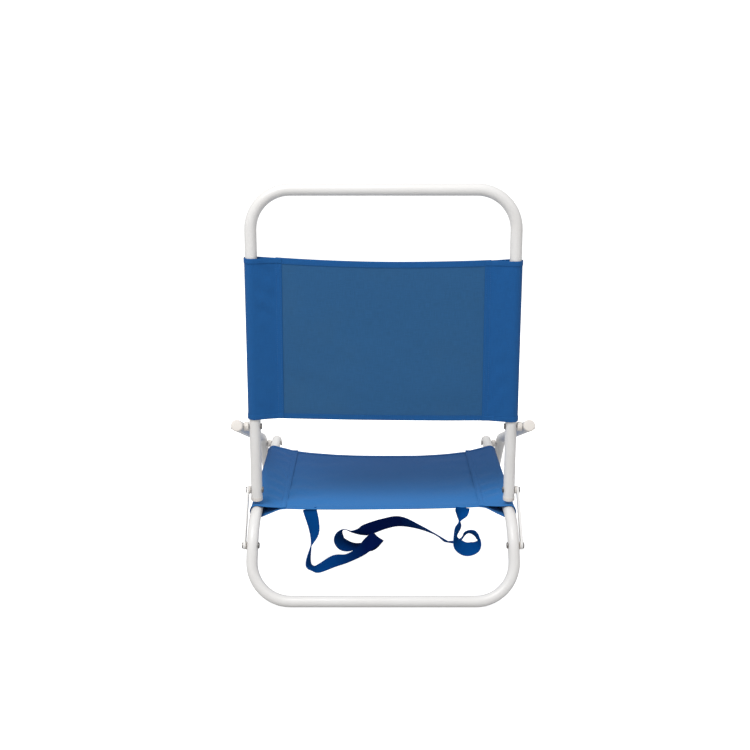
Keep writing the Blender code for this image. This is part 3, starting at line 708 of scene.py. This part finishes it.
def cut_cloth(name, width, length, columns, rows, place_of, thickness=CLOTH_THICKNESS):
    """A flat cut of cloth, put where place_of says, by metres across and along the cut."""
    deselect()
    bpy.ops.mesh.primitive_grid_add(x_subdivisions=columns, y_subdivisions=rows, size=1)
    cloth = bpy.context.object
    cloth.name = name
    uv_map = cloth.data.uv_layers.active
    uv_map.name = "cloth"
    for loop in uv_map.data:
        loop.uv = (loop.uv[0] * width, loop.uv[1] * length)
    for vert in cloth.data.vertices:
        vert.co = place_of((vert.co.x + 0.5) * width, (vert.co.y + 0.5) * length)
    wall = cloth.modifiers.new("thickness", "SOLIDIFY")
    wall.thickness = thickness
    wall.offset = 0
    return cloth


def soften(piece, levels=1):
    """A Subdivision Surface that rounds a piece."""
    smooth = piece.modifiers.new("soft", "SUBSURF")
    smooth.levels = levels
    smooth.render_levels = levels


print("Cloth is", CLOTH_THICKNESS * 1000, "mm thick")

# %% [markdown]
# A sleeve is one cut of cloth that goes round a side tube and comes back to itself, where two
# rows of stitches hold it to the panel. Pulled tight by the panel, its section is a drop: round
# on the tube, straight to the seam. We walk along that section to place each thread.

# %% The sleeve's section
SLEEVE_RADIUS = 0.0113
SEAM_REACH = 0.051
SEAM_WIDTH = 0.0115
SEAM_HALF_GAP = 0.0010


def sleeve_section():
    """Points of the section: the distance towards the seam, and the distance to the face."""
    pinch = Vector((SEAM_REACH - SEAM_WIDTH, SEAM_HALF_GAP))
    lean = math.atan2(pinch.y, pinch.x) + math.acos(SLEEVE_RADIUS / pinch.length)
    upper = [Vector((SEAM_REACH, SEAM_HALF_GAP)), pinch]
    steps = 24
    for step in range(steps + 1):
        angle = lean + (math.tau - 2 * lean) * step / steps
        upper.append(Vector((math.cos(angle), math.sin(angle))) * SLEEVE_RADIUS)
    return upper + [Vector((pinch.x, -pinch.y)), Vector((SEAM_REACH, -SEAM_HALF_GAP))]


SECTION = sleeve_section()
SECTION_LENGTHS = [0.0]
for first, second in zip(SECTION, SECTION[1:]):
    SECTION_LENGTHS.append(SECTION_LENGTHS[-1] + (second - first).length)
SLEEVE_CUT = SECTION_LENGTHS[-1]


def on_section(distance):
    """The point of the section at a distance along it, and the way out from the cloth there."""
    distance = min(max(distance, 0.0), SLEEVE_CUT)
    index = 0
    while index < len(SECTION) - 2 and SECTION_LENGTHS[index + 1] < distance:
        index += 1
    run = SECTION[index + 1] - SECTION[index]
    share = (distance - SECTION_LENGTHS[index]) / run.length
    out = Vector((run.y, -run.x)).normalized()
    return SECTION[index] + run * share, out * (1 if out.dot(SECTION[index]) >= 0 else -1)


print("A sleeve is cut", round(SLEEVE_CUT * 1000), "mm wide")

# %% [markdown]
# Taut cloth is never quite flat. Small folds run slantwise from the seam, where the pull is
# uneven. They are low waves, bent by noise, and they die out at the seam and on the tube.

# %% Slanting folds
def folds(across, along, seed, slant=0.8, wave=0.021):
    """The height of the slanting folds, from -1 to 1."""
    bend = noise.noise(Vector((across * 22, along * 11, seed))) * 3.2
    strength = 0.5 + noise.noise(Vector((across * 8, along * 7, seed + 5.0)))
    return math.sin((across * slant + along) / wave * math.tau * 0.5 + bend) * max(strength, 0.0)


def fade(distance, reach):
    """0 at an edge, rising smoothly to 1 at a reach from it."""
    share = min(max(distance / reach, 0.0), 1.0)
    return share * share * (3 - 2 * share)


print("Fold sample:", round(folds(0.02, 0.1, 1.0), 3))

# %% [markdown]
# A sleeve needs its tube's two ends, the way towards the seam and the way that its face looks.
# Its two ends have a turned hem: a second layer, sewn down, which we add as a band outside.

# %% Sleeves
HEM_WIDTH = 0.009
HEM_STEP = 0.0008


def sleeve_place(low, high, inward, face, seed, fold_height, lift=0.0, start=0.0, slant=0.0):
    """A function that puts a sleeve's cut round its tube. The slant draws in the low seam end."""
    run = (high - low).normalized()
    inward = (inward - run * inward.dot(run)).normalized()
    face = (face - run * face.dot(run)).normalized()
    length = (high - low).length

    def place_of(across, along):
        """Where a point of the cut goes."""
        along += start
        point, out = on_section(across)
        free = fade(point.x - 0.004, 0.014) * fade(SEAM_REACH - 0.006 - point.x, 0.012)
        puff = fold_height * folds(point.x, along * (1 if point.y > 0 else -1), seed) * free
        puff *= fade(along, 0.012) * fade(length - along, 0.012)
        ease = 0.0006 * noise.noise(Vector((point.x * 60, along * 30, seed + 9.0)))
        reach = point + out * (lift + puff + ease * free)
        drawn = slant * fade(point.x, SEAM_REACH) * (1 - along / length)
        return low + run * (along + drawn) + inward * reach.x + face * reach.y
    return place_of


def add_sleeve(name, low, high, inward, face, seed, body, material, slot, fold_height, slant=0.0):
    """A sleeve with a hem band at each end. The bands ride with it."""
    length = (high - low).length
    rows = int(length / 0.0042)
    sleeve = cut_cloth(name + "_cloth", SLEEVE_CUT, length, 54, rows,
                       sleeve_place(low, high, inward, face, seed, fold_height, slant=slant))
    soften(sleeve)
    finish_piece(sleeve, body, material, [name], smooth=60)
    for end, start in (("low", -0.0004), ("high", length - HEM_WIDTH + 0.0004)):
        band = cut_cloth(f"{name}_hem_{end}", SLEEVE_CUT, HEM_WIDTH, 54, 4,
                         sleeve_place(low, high, inward, face, seed, fold_height,
                                      HEM_STEP, start, slant))
        soften(band)
        finish_piece(band, body, material, smooth=60)
    return sleeve


BACK_FACE = Vector((0, BACK_WAY.z, -BACK_WAY.y))
RAIL_FACE = Vector((0, -RAIL_WAY.z, RAIL_WAY.y))
BACK_LOW, BACK_HIGH = Vector((0, 0.25442, 0.31746)), Vector((0, 0.29465, 0.59658))
SEAT_REAR, SEAT_FRONT = Vector((0, 0.24394, 0.14658)), Vector((0, -0.08228, 0.18086))
SEAT_HEM = Vector((0, 0.21987, 0.14911))
BACK_LOW_X, BACK_HIGH_X = 0.22338, 0.22027
CLOTH_SLIP = 0.0022
HEM_SLIP = {"left": 0.0075, "right": -0.0020}

back_ends, seat_ends, panel_ends = {}, {}, {}
for side, sign in (("left", 1), ("right", -1)):
    slip = BACK_WAY * CLOTH_SLIP * sign
    back_ends[side] = (BACK_LOW + slip + Vector((sign * BACK_LOW_X, 0, 0)),
                       BACK_HIGH + slip + Vector((sign * BACK_HIGH_X, 0, 0)))
    seat_ends[side] = (SEAT_REAR + Vector((sign * SEAT_X, 0, 0)),
                       SEAT_FRONT + Vector((sign * SEAT_X, 0, 0)))
    panel_ends[side] = (SEAT_HEM + RAIL_WAY * HEM_SLIP[side] + Vector((sign * SEAT_X, 0, 0)),
                        seat_ends[side][1])
    inward = Vector((-sign, 0, 0))
    add_sleeve(f"back_sleeve_{side}", *back_ends[side], inward, BACK_FACE, 3.0 + sign, "back",
               sleeve_cloth, "sleeve_fabric", 0.0011)
    add_sleeve(f"seat_sleeve_{side}", *seat_ends[side], inward, RAIL_FACE, 7.0 + sign,
               "seat_base", seat_cloth, "seat_fabric", 0.0012,
               (panel_ends[side][0] - seat_ends[side][0]).length)

# %% [markdown]
# ## The panels
# A panel fills the gap between two sleeves, and its edges are caught between their layers.
# The back's top edge hangs in a shallow curve. The seat hangs lowest at its front edge.

# %% Panels
PANEL_THICKNESS = 0.0008
TUCK = 0.010
BACK_TOP_DIP = 0.0052
BACK_LOW_DIP = 0.0014


def between(ends, across, along, dips=(0.0, 0.0)):
    """A point of the panel between two seams: shares across and along, with its edges' dips."""
    (low_left, high_left), (low_right, high_right) = ends["left"], ends["right"]
    low, high = low_left.lerp(low_right, across), high_left.lerp(high_right, across)
    low.x += (SEAM_REACH - TUCK) * (2 * across - 1)
    high.x += (SEAM_REACH - TUCK) * (2 * across - 1)
    run = (high - low).normalized()
    arch = 1 - (2 * across - 1) ** 2
    return low.lerp(high, along) - run * arch * (dips[0] * (1 - along) + dips[1] * along)


def back_place(width, length, lift=0.0, start=0.0):
    """A function that puts a cut of the back panel in its place."""
    def place_of(across, along):
        """Where a point of the cut goes."""
        along += start
        point = between(back_ends, across / width, along / length, (BACK_LOW_DIP, BACK_TOP_DIP))
        edge = fade(across, 0.05) * fade(width - across, 0.05)
        slack = 0.0016 * noise.noise(Vector((across * 7, along * 9, 2.0)))
        slack += 0.0005 * folds(across * 0.5, along, 6.0, slant=1.0, wave=0.045)
        return point + BACK_FACE * (lift + slack * edge)
    return place_of


panel_width = 2 * (BACK_LOW_X - SEAM_REACH + TUCK)
panel_length = (BACK_HIGH - BACK_LOW).length
back_panel = cut_cloth("back_panel_cloth", panel_width, panel_length, 72, 56,
                       back_place(panel_width, panel_length), PANEL_THICKNESS)
finish_piece(back_panel, "back", panel_cloth, ["back_panel"], smooth=60)
print("The back panel is cut", round(panel_width * 1000), "by", round(panel_length * 1000), "mm")

# %% [markdown]
# The seat panel dips under its own slack. Its rear hem is pulled down a little more on the side
# where the carry strap hangs, and soft folds spread from the seams towards the middle.

# %% The seat panel
SEAT_FRONT_DIP, SEAT_REAR_DIP = 0.0105, 0.0030


def seat_place(width, length, lift=0.0, start=0.0):
    """A function that puts a cut of the seat panel in its place."""
    def place_of(across, along):
        """Where a point of the cut goes."""
        along += start
        share, depth = across / width, along / length
        point = between(panel_ends, share, depth)
        arch = 1 - abs(2 * share - 1) ** 3
        point.z -= arch * (SEAT_REAR_DIP + (SEAT_FRONT_DIP - SEAT_REAR_DIP) * depth)
        edge = fade(across, 0.012) * fade(width - across, 0.012)
        near_seam = 1 - fade(across, 0.15) * fade(width - across, 0.15)
        slack = 0.0016 * noise.noise(Vector((across * 8, along * 12, 4.0)))
        slack += 0.0012 * near_seam * folds(across, along, 8.0, slant=-0.35, wave=0.03)
        slack *= fade(along, 0.03)
        return point + RAIL_FACE * (lift + slack * edge)
    return place_of


seat_width = 2 * (SEAT_X - SEAM_REACH + TUCK)
seat_length = (SEAT_FRONT - SEAT_HEM).length
seat_panel = cut_cloth("seat_panel_cloth", seat_width, seat_length, 80, 64,
                       seat_place(seat_width, seat_length), PANEL_THICKNESS)
finish_piece(seat_panel, "seat_base", seat_cloth, ["seat_panel"], smooth=60)
print("The seat panel is cut", round(seat_width * 1000), "by", round(seat_length * 1000), "mm")

# %% [markdown]
# A hem is the panel's edge folded over itself and sewn, so the cloth doesn't fray. It shows as a
# band along the edge. The band starts on the outer face, turns round the edge and ends inside.

# %% Turned hems
HEM_ROUND = 0.0013
HEM_INSIDE = 0.004


def add_hem(name, place_maker, width, length, at_far_end, band, body, material):
    """A band of folded cloth round one end of a panel."""
    half_turn = HEM_ROUND * math.pi / 2
    cut = band + half_turn + HEM_INSIDE
    outer, middle = place_maker(width, length, HEM_ROUND / 2), place_maker(width, length)
    inner = place_maker(width, length, -HEM_ROUND / 2)
    towards = 1 if at_far_end else -1
    edge = length if at_far_end else 0.0

    def place_of(across, along):
        """Where a point of the band goes."""
        if along < band:
            return outer(across, edge - towards * (band - along))
        if along < band + half_turn:
            angle = (along - band) / half_turn * math.pi
            tip = middle(across, edge)
            ahead = (tip - middle(across, edge - towards * 0.01)).normalized()
            up = (outer(across, edge) - inner(across, edge)).normalized()
            return tip + (up * math.cos(angle) + ahead * math.sin(angle)) * HEM_ROUND / 2
        return inner(across, edge - towards * (along - band - half_turn))

    hem = cut_cloth(name, width, cut, 72, 14, place_of, CLOTH_THICKNESS)
    return finish_piece(hem, body, material, smooth=60)


back_hems = [
    add_hem("back_top_hem", back_place, panel_width, panel_length, True, 0.0095, "back",
            sleeve_cloth),
    add_hem("back_low_hem", back_place, panel_width, panel_length, False, 0.0085, "back",
            sleeve_cloth)]
seat_hems = [
    add_hem("seat_front_hem", seat_place, seat_width, seat_length, True, 0.0085, "seat_base",
            seat_cloth),
    add_hem("seat_rear_hem", seat_place, seat_width, seat_length, False, 0.0085, "seat_base",
            seat_cloth)]
print("Hems:", [hem.name for hem in back_hems + seat_hems])

# %% [markdown]
# ## Stitches
# Up close, a seam is a row of small raised stitches. One stitch is a sphere with few faces,
# pressed long and flat. Its mesh is then copied along each seam, a stitch at every step.

# %% Rows of stitches
STITCH_LENGTH, STITCH_STEP, STITCH_WIDTH = 0.0026, 0.0035, 0.0007

deselect()
bpy.ops.mesh.primitive_uv_sphere_add(segments=6, ring_count=4, radius=0.5)
stitch = bpy.context.object
stitch.scale = (STITCH_LENGTH, STITCH_WIDTH, STITCH_WIDTH * 0.8)
bpy.ops.object.transform_apply(location=True, rotation=True, scale=True)
STITCH_VERTS = [vert.co.copy() for vert in stitch.data.vertices]
STITCH_FACES = [tuple(face.vertices) for face in stitch.data.polygons]
bpy.data.objects.remove(stitch, do_unlink=True)


def stitch_rows(name, rows, body):
    """Stitches along rows. Each row is a list of points with the way out of the cloth."""
    verts, faces = [], []
    for row in rows:
        walked, next_stitch = 0.0, STITCH_STEP / 2
        for (here, up), (there, _) in zip(row, row[1:]):
            run = there - here
            while next_stitch < walked + run.length:
                along = run.normalized()
                side = up.cross(along).normalized()
                place = here + along * (next_stitch - walked)
                first = len(verts)
                verts += [place + along * v.x + side * v.y + up * v.z for v in STITCH_VERTS]
                faces += [tuple(first + index for index in face) for face in STITCH_FACES]
                next_stitch += STITCH_STEP
            walked += run.length
    mesh = bpy.data.meshes.new(name)
    mesh.from_pydata(verts, [], faces)
    mesh.uv_layers.new(name="cloth")
    piece = bpy.data.objects.new(name, mesh)
    bpy.context.scene.collection.objects.link(piece)
    print(name, "has", len(faces) // len(STITCH_FACES), "stitches")
    return finish_piece(piece, body, seam_thread, smooth=80)


def seam_row(ends, side, reach, face, on_top, face_lift):
    """A row beside a sleeve's edge, at a reach from its tube."""
    sign = 1 if side == "left" else -1
    low, high = ends[side]
    up = face * on_top
    step = (high - low) / 60
    inward = Vector((-sign * reach, 0, 0))
    return [(low + step * count + inward + up * face_lift, up) for count in range(61)]


def place_row(place_of, along, up, first, last):
    """A row across a panel at a distance along it."""
    return [(place_of(first + (last - first) * step / 80, along), up) for step in range(81)]


SEAM_ROWS = (SEAM_REACH - 0.0028, SEAM_REACH - 0.0096)
SEAM_LIFT = SEAM_HALF_GAP + CLOTH_THICKNESS / 2 + 0.0001
HEM_LIFT = HEM_ROUND / 2 + CLOTH_THICKNESS / 2 + 0.0001

back_rows = [seam_row(back_ends, side, reach, BACK_FACE, top, SEAM_LIFT)
             for side in back_ends for reach in SEAM_ROWS for top in (1, -1)]
back_rows += [place_row(back_place(panel_width, panel_length, lift * top), along, BACK_FACE * top,
                        TUCK, panel_width - TUCK)
              for along in (0.0072, panel_length - 0.0080)
              for lift, top in ((HEM_LIFT, 1), (PANEL_THICKNESS / 2, -1))]
back_stitches = stitch_rows("back_stitches", back_rows, "back")

seat_rows = [seam_row(panel_ends, side, reach, RAIL_FACE, top, SEAM_LIFT)
             for side in panel_ends for reach in SEAM_ROWS for top in (1, -1)]
seat_rows += [place_row(seat_place(seat_width, seat_length, lift * top), along, RAIL_FACE * top,
                        TUCK, seat_width - TUCK)
              for along in (0.0072, seat_length - 0.0072)
              for lift, top in ((HEM_LIFT, 1), (PANEL_THICKNESS / 2, -1))]
seat_stitches = stitch_rows("seat_stitches", seat_rows, "seat_base")

# %% [markdown]
# ## The carry strap
# The strap is one length of limp webbing, sewn under the seat's rear hem at both ends. It is
# longer than the gap, so it twists and folds on its way. We list where its middle goes and
# which way its width points, and a smooth curve through those gives every row of the strap.

# %% The strap
STRAP_WIDTH, STRAP_THICKNESS = 0.025, 0.0012
STRAP_ROUTE = [
    ((132, 222, 146), (-1.0, 0.0, 0.0)), ((124, 224, 108), (-0.8, 0.6, 0.0)),
    ((130, 225, 78), (0.0, 1.0, 0.0)), ((135, 226, 46), (0.3, 1.0, 0.0)),
    ((126, 226, 35), (0.1, 1.0, 0.0)), ((114, 226, 36), (0.1, 0.9, -0.4)),
    ((88, 226, 49), (-0.2, 0.8, -0.6)), ((65, 226, 54), (-0.1, 0.9, -0.3)),
    ((41, 226, 67), (-0.3, 0.9, -0.4)), ((28, 226, 79), (-0.5, 0.6, -0.6)),
    ((17, 225, 88), (-0.7, 0.2, -0.7)), ((9, 219, 92), (-0.8, 0.1, -0.6)),
    ((13, 211, 84), (-0.9, 0.2, -0.3)), ((25, 203, 71), (-0.4, 0.8, -0.4)),
    ((49, 198, 68), (0.0, 1.0, -0.1)), ((72, 207, 74), (0.2, 0.7, -0.7)),
    ((80, 211, 86), (0.6, 0.7, -0.3)), ((79, 213, 99), (0.4, 0.9, 0.1)),
    ((69, 215, 105), (0.1, 0.9, 0.3)), ((55, 217, 101), (0.0, 0.9, 0.4)),
    ((41, 220, 102), (0.0, 0.7, 0.7)), ((28, 222, 107), (0.1, 0.3, 0.9)),
    ((-1, 224, 118), (0.1, 0.4, 0.9)), ((-30, 224, 123), (0.0, 0.5, 0.9)),
    ((-64, 222, 112), (-0.1, 0.8, 0.5)), ((-97, 216, 95), (-0.1, 1.0, 0.3)),
    ((-118, 210, 80), (0.0, 0.9, 0.4)), ((-129, 202, 76), (0.0, 1.0, 0.1)),
    ((-142, 195, 78), (0.1, 1.0, 0.1)), ((-149, 198, 87), (0.1, 1.0, 0.1)),
    ((-157, 205, 95), (0.1, 0.9, 0.4)), ((-169, 216, 95), (-0.1, 0.8, 0.6)),
    ((-174, 222, 86), (-0.1, 1.0, 0.0)), ((-167, 225, 75), (-0.2, 0.8, -0.6)),
    ((-151, 225, 71), (0.0, 0.5, -0.9)), ((-137, 225, 79), (0.3, 0.7, -0.7)),
    ((-131, 225, 92), (0.3, 0.9, -0.2)), ((-136, 224, 112), (0.5, 0.8, 0.0)),
    ((-138, 223, 128), (-0.2, 1.0, 0.0)), ((-143, 222, 142), (-1.0, 0.1, 0.0)),
    ((-144, 222, 148), (-1.0, 0.0, 0.0))]
STRAP_STEPS = 6


def on_curve(values, position):
    """The value at a position along a list, on a smooth curve through all its values."""
    index = min(int(position), len(values) - 2)
    share = position - index
    before, first = values[max(index - 1, 0)], values[index]
    second, after = values[index + 1], values[min(index + 2, len(values) - 1)]
    return 0.5 * (2 * first + (second - before) * share
                  + (2 * before - 5 * first + 4 * second - after) * share ** 2
                  + (3 * first - before - 3 * second + after) * share ** 3)


middles = [Vector(place) / 1000 for place, _ in STRAP_ROUTE]
width_ways = [Vector(way).normalized() for _, way in STRAP_ROUTE]
strap_count = (len(STRAP_ROUTE) - 1) * STRAP_STEPS
strap_line = [on_curve(middles, step / STRAP_STEPS) for step in range(strap_count + 1)]
strap_ways = []
for step in range(strap_count + 1):
    run = strap_line[min(step + 1, strap_count)] - strap_line[max(step - 1, 0)]
    width_way = on_curve(width_ways, step / STRAP_STEPS)
    strap_ways.append((width_way - run * width_way.dot(run) / run.length_squared).normalized())
strap_length = sum((b - a).length for a, b in zip(strap_line, strap_line[1:]))


def strap_place(across, along):
    """Where a point of the webbing goes. The rows of the cut follow the route's steps."""
    step = min(round(along / strap_length * strap_count), strap_count)
    return strap_line[step] + strap_ways[step] * (across - STRAP_WIDTH / 2)


strap = cut_cloth("carry_strap_webbing", STRAP_WIDTH, strap_length, 6, strap_count,
                  strap_place, STRAP_THICKNESS)
finish_piece(strap, "seat_base", webbing, ["carry_strap"], smooth=50)
tuple(strap_line[0])
[tuple(p) for p in strap_line]
print("The strap is", round(strap_length, 3), "m long")

# %% [markdown]
# ## Floor finish
# The floor is matt and pale, so the chair keeps all the attention. It glows for the camera only,
# which keeps it white without lighting the tubes from below.

# %% Finish
FLOOR_GLOW = 0.90

studio_paper, tree, shader = new_material("studio_paper", 0.9)
place = add_node(tree, "ShaderNodeTexCoord").outputs["Object"]
fibres = add_node(tree, "ShaderNodeTexNoise", values={"Scale": 300.0, "Detail": 3.0},
                  links={"Vector": place})
tone = mix_colours(tree, fibres.outputs["Fac"], (0.50, 0.50, 0.50), (0.53, 0.53, 0.53))
tree.links.new(tone, shader.inputs["Base Color"])
shader.inputs["Emission Color"].default_value = (1.0, 1.0, 1.0, 1)
seen = add_node(tree, "ShaderNodeLightPath").outputs["Is Camera Ray"]
tree.links.new(math_node(tree, "MULTIPLY", seen, FLOOR_GLOW), shader.inputs["Emission Strength"])
floor.data.materials.append(studio_paper)
